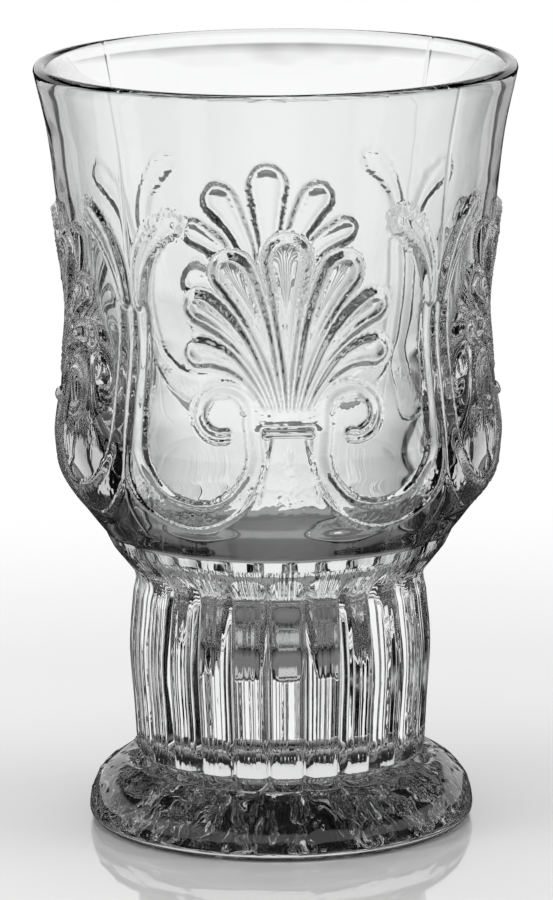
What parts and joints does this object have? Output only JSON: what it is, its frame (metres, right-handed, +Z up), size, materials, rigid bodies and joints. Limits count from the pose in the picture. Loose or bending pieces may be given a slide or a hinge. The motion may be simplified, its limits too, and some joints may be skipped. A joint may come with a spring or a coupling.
{
  "type": "footed juice glass",
  "caption": "Clear pressed-glass footed juice tumbler: flared bowl with palmettes and scrolls in relief, on a ribbed column and a round domed foot.",
  "frame": {"origin": "middle of the foot's contact ring, on the table", "axes": "+Z up the glass's axis; -Y towards the palmette that faces the viewer"},
  "size_m": [0.0694, 0.0694, 0.111],
  "materials": {
    "bowl_glass": "clear pressed glass, glossy, with a faint waviness from the mould",
    "column_glass": "clear pressed glass, glossy",
    "foot_glass": "clear pressed glass, glossy, with small pits and scuffs at the contact ring"
  },
  "bodies": {
    "root": {"bowl": "bowl_glass", "ribbed_column": "column_glass", "foot": "foot_glass"}
  },
  "joints": []
}
